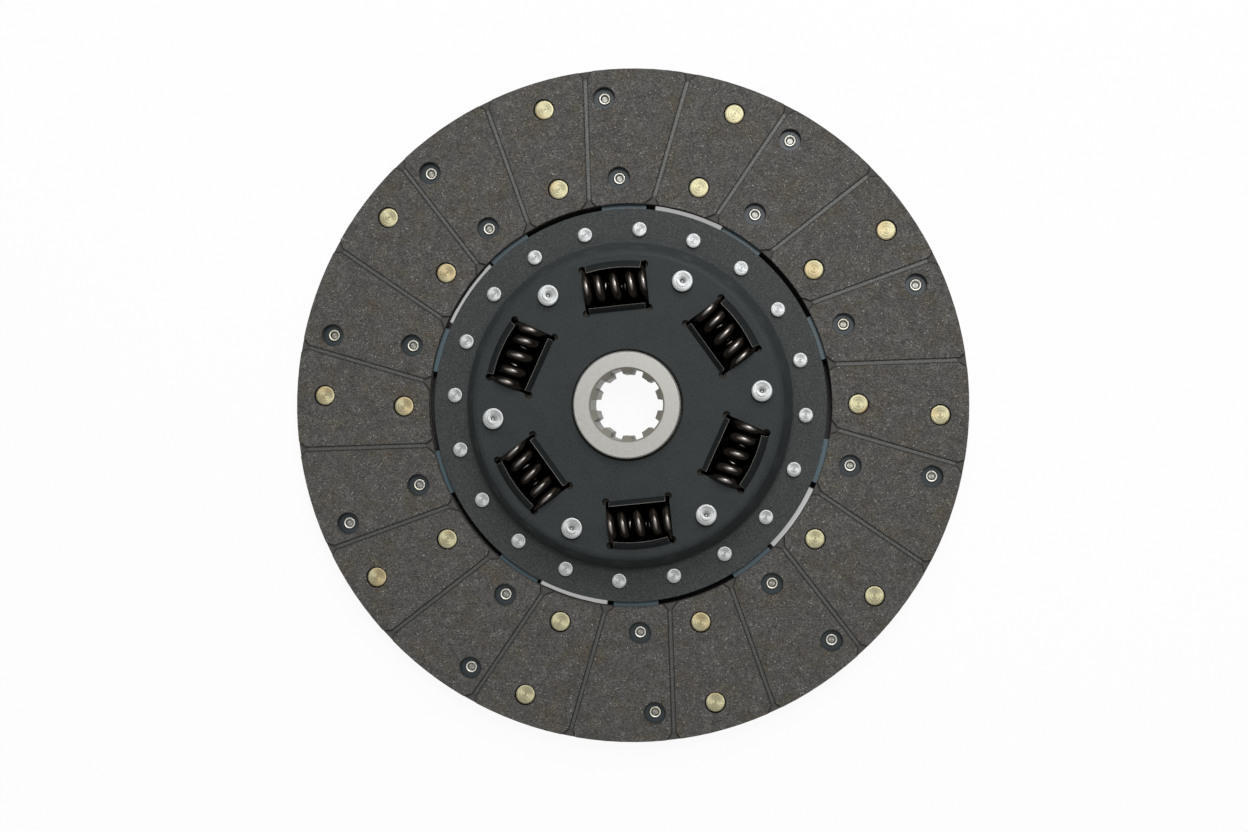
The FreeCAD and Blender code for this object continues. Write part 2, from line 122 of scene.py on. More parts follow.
def from_hex(code):
    """Linear colour of a #RRGGBB code."""
    channels = [int(code[place : place + 2], 16) / 255 for place in (1, 3, 5)]
    return [c / 12.92 if c <= 0.04045 else ((c + 0.055) / 1.055) ** 2.4 for c in channels]


def length(name, description, default):
    """A length that the panel shows."""
    return FloatProperty(name=name, description=description, default=default, unit="LENGTH", precision=5)


def swatch(name, description, code):
    """A colour that the panel shows."""
    return FloatVectorProperty(
        name=name, description=description, default=from_hex(code), subtype="COLOR", min=0.0, max=1.0
    )


def brightness(name, description, default):
    """A strength of light that the panel shows."""
    return FloatProperty(name=name, description=description, default=default, min=0.0)


class DiscSizes(bpy.types.PropertyGroup):
    """Sizes of the pieces modelled here"""

    wire_radius: length("Wire radius", "Half the thickness of the outer springs' wire", 2.9 * MM)
    coil_radius: length("Coil radius", "From an outer spring's middle line to its wire", 8.7 * MM)
    inner_wire_radius: length("Inner wire radius", "Half the thickness of the inner wire", 1.6 * MM)
    inner_coil_radius: length("Inner coil radius", "From an inner spring's middle line to its wire", 4.3 * MM)
    spring_circle: length("Spring circle", "From the disc's axis to the springs' middles", 58.05 * MM)
    spring_height: length("Spring height", "Level of the springs' middles", 22.0 * MM)
    spring_half_length: length("Spring half length", "Half the length of a spring at rest", 15.25 * MM)
    coil_gap: length("Coil gap", "Between the closed coils at a spring's ends", 0.2 * MM)
    pin_circle: length("Pin circle", "From the disc's axis to the stop pins", 65.3 * MM)
    plate_rivet_circle: length("Plate rivet circle", "From the disc's axis to the plate rivets", 86.3 * MM)
    inner_rivet_circle: length("Inner rivet circle", "From the axis to the inner facing rivets", 111.7 * MM)
    outer_rivet_circle: length("Outer rivet circle", "From the axis to the outer facing rivets", 151.3 * MM)


class DiscColours(bpy.types.PropertyGroup):
    """Base colours of the finishes"""

    lining: swatch("Lining", "Moulded friction lining", "#5D5B58")
    lining_brown: swatch("Lining, brown", "Browner patches of the lining", "#5E5749")
    lining_groove: swatch("Groove floor", "Smooth moulded floor of the grooves", "#5C5D5A")
    fibre: swatch("Fibres", "Light fibres and metal chips in the lining", "#ACABA7")
    sheet: swatch("Sheet steel", "Dark hardened steel of the plates", "#303435")
    dust: swatch("Dust", "Pale dust on the plates", "#8D8B84")
    blued: swatch("Blued steel", "Heat-blued steel of the paddles", "#50636B")
    ground: swatch("Ground steel", "Turned and ground steel of the hub", "#8A8985")
    oiled: swatch("Oiled steel", "Oiled, darker steel inside the bore", "#86837A")
    plated: swatch("Plated steel", "Bright plated pins and rivets", "#9EA0A0")
    brass: swatch("Brass", "Satin brass of the facing rivets", "#A39E80")
    rolled: swatch("Rolled ends", "Duller rolled ends of the rear rivets", "#BDBCB4")
    copper: swatch("Copper tint", "Warmer tint of some rivets", "#9C8660")
    spring: swatch("Spring wire", "Oil-hardened spring wire", "#1A1714")
    # Painted highlight laid on the springs' coils
    painted: swatch("Painted highlight", "Crests of the coils, rubbed bright", "#75716E")
    friction_ring: swatch("Friction ring", "Moulded rings beside the hub's flange", "#4D463E")


class StageSettings(bpy.types.PropertyGroup):
    """Light and floor of the stage"""

    key_power: brightness("Key light", "Power of the lamp beyond the disc", 9.0)
    top_power: brightness("Top light", "Power of the lamp overhead", 12.0)
    sky_strength: brightness("Sky", "Even light from all round", 0.23)
    open_floor: swatch("Floor", "Floor where it lies open", "#EFEFEF")
    # Painted shade: colour of the floor under the disc
    shaded_floor: swatch("Shaded floor", "Floor under the disc", "#4B4B4B")


# Modelling helpers


def deselect_all():
    """Leaves edit mode and selects nothing."""
    if bpy.context.object and bpy.context.object.mode != "OBJECT":
        bpy.ops.object.mode_set(mode="OBJECT")
    bpy.ops.object.select_all(action="DESELECT")


def choose(*objects):
    """Selects only these objects and makes the first the active one."""
    deselect_all()
    for piece in objects:
        piece.select_set(True)
    bpy.context.view_layer.objects.active = objects[0]


def polar(radius, angle, height=0.0):
    """Point at a radius and an angle in degrees about the disc's axis."""
    turn = math.radians(angle)
    return Vector((radius * math.cos(turn), radius * math.sin(turn), height))


def turned(name, profile, centre):
    """Lathe-turned piece about an upright axis, from (radius, height) corners from its underside upwards."""
    deselect_all()
    radius, height = profile[0]
    bpy.ops.mesh.primitive_circle_add(
        vertices=LATHE_SIDES, radius=radius, fill_type="NGON", location=(centre.x, centre.y, height)
    )
    piece = bpy.context.object
    piece.name = name
    bpy.ops.object.transform_apply(location=True, rotation=True, scale=True)
    bpy.ops.object.mode_set(mode="EDIT")
    bpy.ops.mesh.select_all(action="SELECT")
    for next_radius, next_height in profile[1:]:
        bpy.ops.mesh.extrude_region_move()
        step = next_radius / radius
        middle = (centre.x, centre.y, height)
        bpy.ops.transform.resize(value=(step, step, 1), center_override=middle)
        bpy.ops.transform.translate(value=(0, 0, next_height - height))
        radius, height = next_radius, next_height
    bpy.ops.mesh.select_all(action="SELECT")
    bpy.ops.mesh.normals_make_consistent(inside=False)
    bpy.ops.object.mode_set(mode="OBJECT")
    wrap_round(piece, centre)
    bpy.ops.object.shade_smooth_by_angle(angle=LATHE_BEND)
    return piece


def wrap_round(piece, centre):
    """Gives a turned piece a UV map that runs round its axis, for finishes that follow the lathe's marks."""
    layer = piece.data.uv_layers.new(name="lathe")
    vertices = piece.data.vertices
    for face in piece.data.polygons:
        arm = face.center - centre
        middle = math.atan2(arm.y, arm.x)
        for corner in face.loop_indices:
            spot = vertices[piece.data.loops[corner].vertex_index].co - centre
            turn = math.atan2(spot.y, spot.x) - middle
            turn -= 2 * math.pi * round(turn / (2 * math.pi))
            layer.data[corner].uv = ((middle + turn) / (2 * math.pi), math.hypot(spot.x, spot.y) / MM)


def in_metres(corners):
    """The corners of a profile, which are written in millimetres."""
    return [(radius * MM, height * MM) for radius, height in corners]


def copied(piece, matrix):
    """Copy of a piece with a mesh of its own, moved by a matrix."""
    double = piece.copy()
    double.data = piece.data.copy()
    double.data.transform(matrix)
    bpy.context.scene.collection.objects.link(double)
    return double


def ring_of(piece, count):
    """The piece and its copies, evenly spaced about the disc's axis."""
    turns = [Matrix.Rotation(2 * math.pi * number / count, 4, "Z") for number in range(1, count)]
    return [piece] + [copied(piece, turn) for turn in turns]


def joined(pieces, name):
    """Several pieces as one object."""
    choose(*pieces)
    bpy.ops.object.join()
    pieces[0].name = name
    pieces[0].data.name = name
    return pieces[0]


def dress(piece, material):
    """Gives a piece its finish."""
    piece.data.materials.clear()
    piece.data.materials.append(material)


def dress_nodes(material, *nodes):
    """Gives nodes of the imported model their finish."""
    for node in nodes:
        dress(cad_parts[node], material)


def finish_piece(piece, material, body, slot, *nodes):
    """Dresses a new piece, lets it ride on its body and stand for the nodes that it replaces."""
    dress(piece, material)
    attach(piece, body)
    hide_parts(*nodes)


# Materials


def new_material(name):
    """Material with an empty node tree."""
    material = bpy.data.materials.new(name)
    material.use_nodes = True
    material.node_tree.nodes.clear()
    return material


def add_node(material, kind, inputs=None, output=0, **settings):
    """Adds a node, sets its properties, sets or links its inputs, and gives one of its outputs."""
    tree = material.node_tree
    node = tree.nodes.new("ShaderNode" + kind)
    for name, value in settings.items():
        setattr(node, name, value)
    for name, value in (inputs or {}).items():
        if isinstance(value, bpy.types.NodeSocket):
            tree.links.new(value, node.inputs[name])
        else:
            node.inputs[name].default_value = value
    return node.outputs[output] if node.outputs else None


def rgba(tint, share=1.0):
    """A colour as four numbers, darkened or lightened by a share."""
    return [min(1.0, channel * share) for channel in tint] + [1.0]


def in_millimetres(material):
    """Object coordinates scaled to millimetres, so that patterns have real sizes."""
    place = add_node(material, "TexCoord", output="Object")
    return add_node(material, "Mapping", {"Vector": place, "Scale": (1 / MM, 1 / MM, 1 / MM)})


def axis_distance(material, place):
    """Distance from the disc's axis."""
    flat = add_node(material, "VectorMath", {0: place, 1: (1.0, 1.0, 0.0)}, operation="MULTIPLY")
    return add_node(material, "VectorMath", {0: flat}, output="Value", operation="LENGTH")


def mottled(material, place, size, low=0.0, high=1.0, least=0.0, most=1.0, detail=3.0, roughness=0.55):
    """Uneven pattern with patches of a size, stretched so that low turns to least and high to most."""
    patches = {"Vector": place, "Scale": 1 / size, "Detail": detail, "Roughness": roughness}
    patches = add_node(material, "TexNoise", patches)
    stretched = {"Value": patches, "From Min": low, "From Max": high, "To Min": least, "To Max": most}
    return add_node(material, "MapRange", stretched)


def flecked(material, place, spacing, reach):
    """1 on flecks at a spacing, passing to 0 at a reach, which are shares of the spacing."""
    away = add_node(material, "TexVoronoi", {"Vector": place, "Scale": 1 / spacing})
    return add_node(material, "MapRange", {"Value": away, "From Min": reach, "From Max": 0.1})


def coated(material, colour, coat, value, low=0.0, high=1.0, most=1.0):
    """Lays a coat over a colour: none where a value is low, passing to the most where it is high."""
    share = {"Value": value, "From Min": low, "From Max": high, "To Max": most}
    share = add_node(material, "MapRange", share)
    return add_node(material, "Mix", {"Factor": share, 6: colour, 7: coat}, output=2, data_type="RGBA")


def painted_crevice_shade(material, reach, open_air, closed_air):
    """Mask for painted shade: 1 in narrow hollows no wider than a reach, and 0 where the share of open air
    round a spot is higher.
    """
    around = add_node(material, "AmbientOcclusion", {"Distance": reach * MM}, output="AO", samples=6)
    return add_node(material, "MapRange", {"Value": around, "From Min": open_air, "From Max": closed_air})


def sharp_edges(material, reach):
    """1 on edges sharper than a reach and 0 on flats and easy curves."""
    rounded = add_node(material, "Bevel", {"Radius": reach * MM}, samples=6)
    flat = add_node(material, "NewGeometry", output="Normal")
    likeness = add_node(
        material, "VectorMath", {0: rounded, 1: flat}, output="Value", operation="DOT_PRODUCT"
    )
    return add_node(material, "MapRange", {"Value": likeness, "From Min": 0.985, "From Max": 0.88})


def surface(material, colour, roughness, relief, depth, edge=0.0, **inputs):
    """Ends a material with its shader: colour, roughness, a relief's depth, and the radius of its edges."""
    bump = {"Height": relief, "Strength": 1.0, "Distance": depth * MM}
    if edge:
        bump["Normal"] = add_node(material, "Bevel", {"Radius": edge * MM}, samples=4)
    bump = add_node(material, "Bump", bump)
    inputs = {"Base Color": colour, "Roughness": roughness, "Normal": bump, **inputs}
    shader = add_node(material, "BsdfPrincipled", inputs)
    add_node(material, "OutputMaterial", {"Surface": shader})
    return material


def moulded_lining(tints):
    """Moulded friction lining: matt and brown-grey, with dark pores, light fibres and chips of metal.

    The mould leaves the grooves with smooth floors that shine like graphite. The dark lines along the groove
    edges and in narrow corners are painted shade.
    The grit is drawn coarser than it is, so that it shows.
    """
    material = new_material("moulded_lining")
    place = in_millimetres(material)
    blotches = mottled(material, place, size=6.25, low=0.35, high=0.65, detail=4.0)
    colour = coated(material, rgba(tints.lining, 0.86), rgba(tints.lining, 1.1), blotches)
    browner = mottled(material, place, size=14.29, low=0.5, high=0.66, most=0.8, detail=4.0, roughness=0.6)
    colour = coated(material, colour, rgba(tints.lining_brown), browner)
    grit = mottled(material, place, size=0.6667, detail=5.0, roughness=0.8)
    colour = coated(material, colour, rgba(tints.lining, 0.22), grit, low=0.58, high=0.38)
    colour = with_fibres(material, place, colour, tints)
    in_groove = groove_floors(material, place)
    in_mouth = groove_mouths(material, place)
    scored = mottled(material, place, size=0.4545, low=0.35, high=0.65, detail=4.0, roughness=0.7)
    floor = coated(material, rgba(tints.lining_groove, 0.5), rgba(tints.lining_groove, 1.25), scored)
    floor = coated(material, floor, rgba(tints.lining, 0.75), in_mouth)
    colour = coated(material, colour, floor, in_groove)
    # Painted shade: narrow hollows, such as the grooves' corners, are darkened
    colour = coated(material, colour, rgba(tints.lining, 0.04), painted_crevice_shade(material, 2.5, 0.74, 0.62))
    # Painted shade: sharp edges, such as the tops of the groove walls, are darkened
    colour = coated(material, colour, rgba(tints.lining, 0.12), sharp_edges(material, 0.6), most=0.75)
    past_mouth = add_node(material, "Math", {0: 1.0, 1: in_mouth}, operation="SUBTRACT")
    smooth = add_node(material, "Math", {0: in_groove, 1: past_mouth}, operation="MULTIPLY")
    roughness = add_node(material, "MapRange", {"Value": smooth, "To Min": 0.85, "To Max": 0.42})
    shine = add_node(material, "Math", {0: smooth, 1: 0.7}, operation="MULTIPLY")
    sockets = {"Specular IOR Level": 0.15, "Metallic": shine}
    return surface(material, colour, roughness, grit, depth=0.12, edge=0.2, **sockets)


def with_fibres(material, place, colour, tints):
    """Lays bent fibres in matted areas, and grouped chips of metal, over the lining's colour.

    The real ones are far thinner. They are drawn as coarse as they need to be to show.
    """
    bend = mottled(material, place, size=3.333, detail=2.0)
    bent = add_node(material, "VectorMath", {0: place, 1: bend}, operation="ADD")
    matted = mottled(material, place, size=5.0, low=0.42, high=0.62, least=0.3, roughness=0.6)
    fibre_size = (1.1905, 0.2976, 0.8333)
    # All fibres run one way, and each layer's turn takes them from another part of the pattern
    for layer in (20.0, 65.0, 110.0, 155.0):
        lengthwise = {
            "Vector": bent,
            "Rotation": (0.0, 0.0, math.radians(layer)),
            "Scale": [1 / side for side in fibre_size],
        }
        lengthwise = add_node(material, "Mapping", lengthwise)
        strands = mottled(material, lengthwise, size=1.0, low=0.6, high=0.72, most=0.95, roughness=0.7)
        strands = add_node(material, "Math", {0: strands, 1: matted}, operation="MULTIPLY")
        colour = coated(material, colour, rgba(tints.fibre, 0.95), strands)
    chips = flecked(material, place, spacing=1.6667, reach=0.19)
    grouped = mottled(material, place, size=2.857, low=0.5, high=0.6, most=0.7, detail=1.0)
    chips = add_node(material, "Math", {0: chips, 1: grouped}, operation="MULTIPLY")
    return coated(material, colour, rgba(tints.fibre, 1.3), chips)


def groove_floors(material, place):
    """1 at the level of the groove floors of either facing, and 0 above and below it."""
    level = add_node(material, "SeparateXYZ", {"Vector": place}, output="Z")
    level = add_node(material, "Math", {0: level, 1: PADDLE_MIDDLE_Z / MM}, operation="SUBTRACT")
    level = add_node(material, "Math", {0: level}, operation="ABSOLUTE")
    below = {"Value": level, "From Min": GROOVE_FLOOR + 0.75, "From Max": GROOVE_FLOOR + 0.45}
    above = {"Value": level, "From Min": GROOVE_FLOOR - 0.25, "From Max": GROOVE_FLOOR - 0.05}
    sides = {0: add_node(material, "MapRange", below), 1: add_node(material, "MapRange", above)}
    return add_node(material, "Math", sides, operation="MULTIPLY")


def groove_mouths(material, place):
    """1 at the radii of the grooves' flared mouths, at the facing's bore and at its rim."""
    radius = axis_distance(material, place)
    at_bore = {"Value": radius, "From Min": INNER_MOUTHS + 1.5, "From Max": INNER_MOUTHS}
    at_rim = {"Value": radius, "From Min": OUTER_MOUTHS - 1.5, "From Max": OUTER_MOUTHS}
    ends = {0: add_node(material, "MapRange", at_bore), 1: add_node(material, "MapRange", at_rim)}
    return add_node(material, "Math", ends, operation="MAXIMUM")


def hardened_sheet(tints):
    """Hardened sheet steel: nearly black, satin, clouded by the furnace, with painted shade in creases, on
    the raised lip and round the bore, and lip edges lightened by wear and a painted highlight.

    Pale dust lies on the flange outside the dish. The grain is drawn coarser than it is, to show.
    """
    material = new_material("hardened_sheet")
    place = in_millimetres(material)
    radius = axis_distance(material, place)
    level = add_node(material, "SeparateXYZ", {"Vector": place}, output="Z")
    clouds = mottled(material, place, size=11.11, low=0.35, high=0.65, detail=4.0)
    colour = coated(material, rgba(tints.sheet, 0.9), rgba(tints.sheet, 1.1), clouds)
    grain = mottled(material, place, size=0.7143, roughness=0.7)
    colour = coated(material, colour, rgba(tints.sheet, 1.5), grain, low=0.4, high=0.75)
    colour = with_dust(material, place, colour, grain, tints)
    # Painted shade: the raised lip beside each spring is darkened, as its steep faces turn from the light
    painted_lip_shade = {"low": PLATE_TOP + 0.05, "high": PLATE_TOP + 0.5, "most": 0.68}
    colour = coated(material, colour, rgba(tints.sheet, 0.1), level, **painted_lip_shade)
    # Painted shade: creases and tight corners are darkened
    colour = coated(material, colour, rgba(tints.sheet, 0.06), painted_crevice_shade(material, 4.0, 0.45, 0.12))
    # Painted shade: a dark ring round the plate's bore, in the gap beside the hub
    painted_bore_shade = {"low": PLATE_HOLE + 0.5, "high": PLATE_HOLE, "most": 0.85}
    colour = coated(material, colour, rgba(tints.sheet, 0.05), radius, **painted_bore_shade)
    # The lip tops' sharp edges take the dust colour: partly wear, partly a painted highlight
    lip_tops = {"Value": level, "From Min": PLATE_TOP + 0.6, "From Max": PLATE_TOP + 1.0, "To Max": 0.9}
    worn_and_highlight_rims = {0: sharp_edges(material, 0.6), 1: add_node(material, "MapRange", lip_tops)}
    worn_and_highlight_rims = add_node(material, "Math", worn_and_highlight_rims, operation="MULTIPLY")
    colour = coated(material, colour, rgba(tints.dust, 0.8), worn_and_highlight_rims)
    roughness = add_node(material, "MapRange", {"Value": clouds, "To Min": 0.4, "To Max": 0.5})
    return surface(material, colour, roughness, grain, depth=0.02, edge=0.3, **{"Specular IOR Level": 0.06})


def with_dust(material, place, colour, grain, tints):
    """Lays specks and a film of dust over the sheet's colour, most of it outside the dish."""
    radius = axis_distance(material, place)
    outside = {"Value": radius, "From Min": DISH_START, "From Max": DISH_END, "To Min": 0.08, "To Max": 0.65}
    outside = add_node(material, "MapRange", outside)
    specks = flecked(material, place, spacing=1.4286, reach=0.17)
    grouped = mottled(material, place, size=2.5, low=0.5, high=0.58, detail=2.0)
    film = add_node(material, "MapRange", {"Value": grain, "From Min": 0.35, "From Max": 0.8, "To Max": 0.35})
    specks = add_node(material, "Math", {0: specks, 1: grouped}, operation="MULTIPLY")
    for cover in (specks, film):
        cover = add_node(material, "Math", {0: cover, 1: outside}, operation="MULTIPLY")
        colour = coated(material, colour, rgba(tints.dust), cover)
    return colour


def blued_spring_sheet(tints):
    """Heat-blued spring sheet: cloudy and darker between the facings, with painted shade in its recesses; the
    necks and tabs are painted an even, lighter blue as painted light.
    """
    material = new_material("blued_spring_sheet")
    place = in_millimetres(material)
    drift = mottled(material, place, size=8.333, low=0.35, high=0.65)
    colour = coated(material, rgba(tints.blued, 0.75), rgba(tints.blued, 1.15), drift)
    # Painted shade: the recesses round the rivets and other narrow hollows are darkened
    colour = coated(material, colour, rgba(tints.blued, 0.15), painted_crevice_shade(material, 5.0, 0.95, 0.25))
    colour = coated(material, colour, rgba(tints.sheet, 0.4), 0.55)
    # Painted light: the necks and tabs, seen in the slits round the drive plate where little light gets in,
    # are painted lighter
    painted_light_necks = {"low": NECK_END + 1.0, "high": NECK_END}
    colour = coated(material, colour, rgba(tints.blued, 0.92), axis_distance(material, place), **painted_light_necks)
    rolled = mottled(material, place, size=0.5, detail=2.0)
    return surface(material, colour, 0.36, rolled, depth=0.008, edge=0.25, **{"Specular IOR Level": 0.3})


def ground_steel(tints):
    """Turned and ground hub: faint tool rings on its face, oiled steel in the bore, and painted shade on the
    flange under the drive plate and in narrow corners.

    The rings are drawn coarser than the tool's real feed, so that they show.
    """
    material = new_material("ground_steel")
    place = in_millimetres(material)
    radius = axis_distance(material, place)
    uneven = mottled(material, place, size=2.0)
    ring_spacing = 0.6981
    rings = add_node(material, "Math", {0: radius, 1: 2 * math.pi / ring_spacing}, operation="MULTIPLY")
    rings = add_node(material, "Math", {0: rings}, operation="SINE")
    colour = coated(material, rgba(tints.ground, 0.94), rgba(tints.ground, 1.04), uneven, low=0.3, high=0.7)
    colour = coated(material, colour, rgba(tints.ground, 0.6), rings, low=-1.0, most=0.1)
    colour = coated(material, colour, rgba(tints.oiled), radius, low=BORE_EDGE + 0.6, high=BORE_EDGE)
    # Painted shade: the flange, seen only in the narrow gap under the drive plate, is painted near black
    flange = {"low": FLANGE_START - 0.8, "high": FLANGE_START}
    colour = coated(material, colour, rgba(tints.oiled, 0.1), radius, **flange)
    # Painted shade: tooth spaces and tight corners are darkened
    colour = coated(material, colour, rgba(tints.oiled, 0.3), painted_crevice_shade(material, 1.5, 0.6, 0.15))
    roughness = {"Value": uneven, "From Min": 0.3, "From Max": 0.7, "To Min": 0.4, "To Max": 0.48}
    roughness = add_node(material, "MapRange", roughness)
    metal = {"Value": radius, "From Min": BORE_EDGE, "From Max": BORE_EDGE + 0.6, "To Min": 0.3}
    metal = add_node(material, "MapRange", metal)
    return surface(material, colour, roughness, rings, depth=0.003, edge=0.3, Metallic=metal)


def lathe_finish(name, tint, roughness, warmer=None, most=0.0, hollow=0.0):
    """Turned metal whose highlight spreads across the tool's circular marks, with painted shade in its
    hollows.

    A warmer tint may cover some of the pieces, and a hollow of a radius is painted dark inside as painted
    shade. The marks are drawn coarser than they are, so that they show.
    """
    material = new_material(name)
    place = in_millimetres(material)
    colour = rgba(tint)
    if warmer is not None:
        some = mottled(material, place, size=14.29, low=0.5, high=0.62, most=most, detail=1.0)
        colour = coated(material, colour, rgba(warmer), some)
    handled = mottled(material, place, size=0.7692)
    colour = coated(material, colour, rgba(tint, 0.66), handled, low=0.35, high=0.75, most=0.3)
    wrapped = add_node(material, "UVMap", uv_map="lathe")
    from_centre = add_node(material, "SeparateXYZ", {"Vector": wrapped}, output="Y")
    mark_spacing = 0.3846
    marks = {"W": from_centre, "Scale": 1 / mark_spacing}
    marks = add_node(material, "TexNoise", marks, noise_dimensions="1D")
    marks = {"Value": marks, "From Min": 0.42, "From Max": 0.58, "To Max": 0.85}
    marks = add_node(material, "MapRange", marks)
    kept = add_node(material, "MapRange", {"Value": handled, "From Min": 0.3, "From Max": 0.55})
    marks = add_node(material, "Math", {0: marks, 1: kept}, operation="MULTIPLY")
    colour = coated(material, colour, rgba(tint, 0.5), marks)
    # Painted shade: narrow hollows and corners are darkened
    colour = coated(material, colour, rgba(tint, 0.25), painted_crevice_shade(material, 1.2, 0.75, 0.3))
    # Painted shade: the floor of the hollow is darkened
    if hollow:
        inside = {"low": hollow, "high": hollow - 0.2, "most": 0.75}
        colour = coated(material, colour, rgba(tint, 0.3), from_centre, **inside)
    around = add_node(material, "Tangent", direction_type="UV_MAP", uv_map="lathe")
    sockets = {"Metallic": 1.0, "Anisotropic": 0.6, "Tangent": around}
    return surface(material, colour, roughness, handled, depth=0.006, edge=0.12, **sockets)


def spring_wire(tints):
    """Oil-hardened wire: nearly black with a brown cast, with a painted highlight where the wire faces
    straight up or down.
    """
    material = new_material("spring_wire")
    place = in_millimetres(material)
    cast = mottled(material, place, size=4.0, low=0.35, high=0.65)
    colour = coated(material, rgba(tints.spring, 0.6), rgba(tints.spring, 1.4), cast)
    # Painted highlight: the wire is lightened where it faces straight up or down, along the coils' tops and
    # undersides
    outwards = add_node(material, "TexCoord", output="Normal")
    upward = add_node(material, "SeparateXYZ", {"Vector": outwards}, output="Z")
    upward = add_node(material, "Math", {0: upward}, operation="ABSOLUTE")
    painted_crest_highlight = add_node(material, "MapRange", {"Value": upward, "From Min": 0.925, "From Max": 1.0})
    painted_crest_highlight = add_node(material, "Math", {0: painted_crest_highlight, 1: 2.0}, operation="POWER")
    colour = coated(material, colour, rgba(tints.painted), painted_crest_highlight)
    drawn = mottled(material, place, size=0.5556, detail=2.0)
    return surface(material, colour, 0.3, drawn, depth=0.006, Metallic=1.0)


def friction_ring_finish(tints):
    """Moulded friction ring: dull brown with fine grain."""
    material = new_material("friction_ring_finish")
    grain = mottled(material, in_millimetres(material), size=0.8333, detail=4.0)
    colour = coated(material, rgba(tints.friction_ring, 0.7), rgba(tints.friction_ring, 1.25), grain)
    return surface(material, colour, 0.7, grain, depth=0.04, **{"Specular IOR Level": 0.2})


def background_rays(material):
    """1 for what the camera sees, directly, mirrored or through glass, and 0 for the light on the object."""
    seen = 0.0
    for kind in ("Is Camera Ray", "Is Glossy Ray", "Is Transmission Ray"):
        ray = add_node(material, "LightPath", output=kind)
        seen = add_node(material, "Math", {0: seen, 1: ray}, operation="MAXIMUM")
    return seen


def painted_light_slits(material, place):
    """Painted light: how far the floor is painted open, lighter and white, in the slits listed above and
    those opposite.
    """
    sideways = {0: add_node(material, "SeparateXYZ", {"Vector": place}, output="Y")}
    sideways[1] = add_node(material, "SeparateXYZ", {"Vector": place}, output="X")
    angle = add_node(material, "Math", sideways, operation="ARCTAN2")
    angle = add_node(material, "Math", {0: angle, 1: math.degrees(1.0)}, operation="MULTIPLY")
    angle = add_node(material, "Math", {0: angle, 1: 180.0}, operation="FLOORED_MODULO")
    bright = 0.0
    for middle in PAINTED_LIGHT_SLITS:
        away = add_node(material, "Math", {0: angle, 1: middle}, operation="SUBTRACT")
        away = add_node(material, "Math", {0: away}, operation="ABSOLUTE")
        ends = {"From Min": PAINTED_LIGHT_SLIT_REACH + 0.2, "From Max": PAINTED_LIGHT_SLIT_REACH - 0.2}
        slit = add_node(material, "MapRange", {"Value": away, "To Max": 0.42, **ends})
        bright = add_node(material, "Math", {0: bright, 1: slit}, operation="MAXIMUM")
    past_rim = {"Value": axis_distance(material, place), "From Min": PLATE_RIM, "From Max": PLATE_RIM + 1.0}
    past_rim = add_node(material, "MapRange", past_rim)
    return add_node(material, "Math", {0: bright, 1: past_rim}, operation="MULTIPLY")


def pale_floor(stage):
    """Pale floor: white where it lies open, and painted dark under the disc as painted shade, since little
    light gets in there.

    It is open outside the drive plate, under the bore and on its own underside, and partly open in
    four of the slits round the drive plate, which is painted light.
    """
    material = new_material("pale_floor")
    place = in_millimetres(material)
    radius = axis_distance(material, place)
    level = add_node(material, "SeparateXYZ", {"Vector": place}, output="Z")
    underside = {0: level, 1: -0.5 * FLOOR_THICKNESS / MM}
    past_plate = {"Value": radius, "From Min": FACING_BORE, "From Max": FACING_BORE + 0.5}
    under_bore = {"Value": radius, "From Min": 24.0, "From Max": 23.0}
    open_parts = (
        add_node(material, "MapRange", past_plate),
        add_node(material, "MapRange", under_bore),
        add_node(material, "Math", underside, operation="LESS_THAN"),
    )
    open_floor = painted_light_slits(material, place)
    for part in open_parts:
        open_floor = add_node(material, "Math", {0: open_floor, 1: part}, operation="MAXIMUM")
    # The open floor is nearly all plain white to the camera, and the rest of it takes the disc's shadow
    white = add_node(material, "Math", {0: background_rays(material), 1: open_floor}, operation="MULTIPLY")
    white = add_node(material, "Math", {0: white, 1: 0.94}, operation="MULTIPLY")
    # Painted shade: the floor under the disc takes the dark colour, and the slits' painted light takes some
    # of the open colour
    tint = coated(material, rgba(stage.shaded_floor), rgba(stage.open_floor), open_floor)
    matt = add_node(material, "BsdfDiffuse", {"Color": tint})
    glow = add_node(material, "Emission", {"Color": WHITE, "Strength": 1.0})
    mixed = add_node(material, "MixShader", {0: white, 1: matt, 2: glow})
    add_node(material, "OutputMaterial", {"Surface": mixed})
    return material


# Pieces


class CLUTCHDISC_OT_stage(bpy.types.Operator):
    """Add the camera, the floor, the lamps and the even light from all round"""

    bl_idname = "clutchdisc.stage"
    bl_label = "Stage"

    def execute(self, context):
        settings = context.scene.clutch_stage
        bpy.ops.object.camera_add(location=CAMERA_PLACE)
        camera = context.object
        camera.rotation_euler = Matrix(CAMERA_TURN).to_euler()
        camera.data.sensor_width = CAMERA_SENSOR
        camera.data.lens = CAMERA_LENS
        camera.data.clip_start = 0.01
        context.scene.camera = camera
        middle = (0.0, 0.0, -FLOOR_THICKNESS / 2)
        span = (FLOOR_WIDTH, FLOOR_WIDTH, FLOOR_THICKNESS)
        bpy.ops.mesh.primitive_cube_add(size=1.0, location=middle, scale=span)
        bpy.ops.object.transform_apply(location=True, rotation=True, scale=True)
        floor = context.object
        floor.name = "floor"
        dress(floor, pale_floor(settings))
        add_lamp("key_light", place=(0.25, 1.05, 1.05), size=0.7, power=settings.key_power)
        add_lamp("top_light", place=(0.22, 0.5, 1.5), size=0.35, power=settings.top_power)
        light_the_sky(context.scene, settings.sky_strength)
        context.scene.view_settings.view_transform = "Standard"
        return {"FINISHED"}


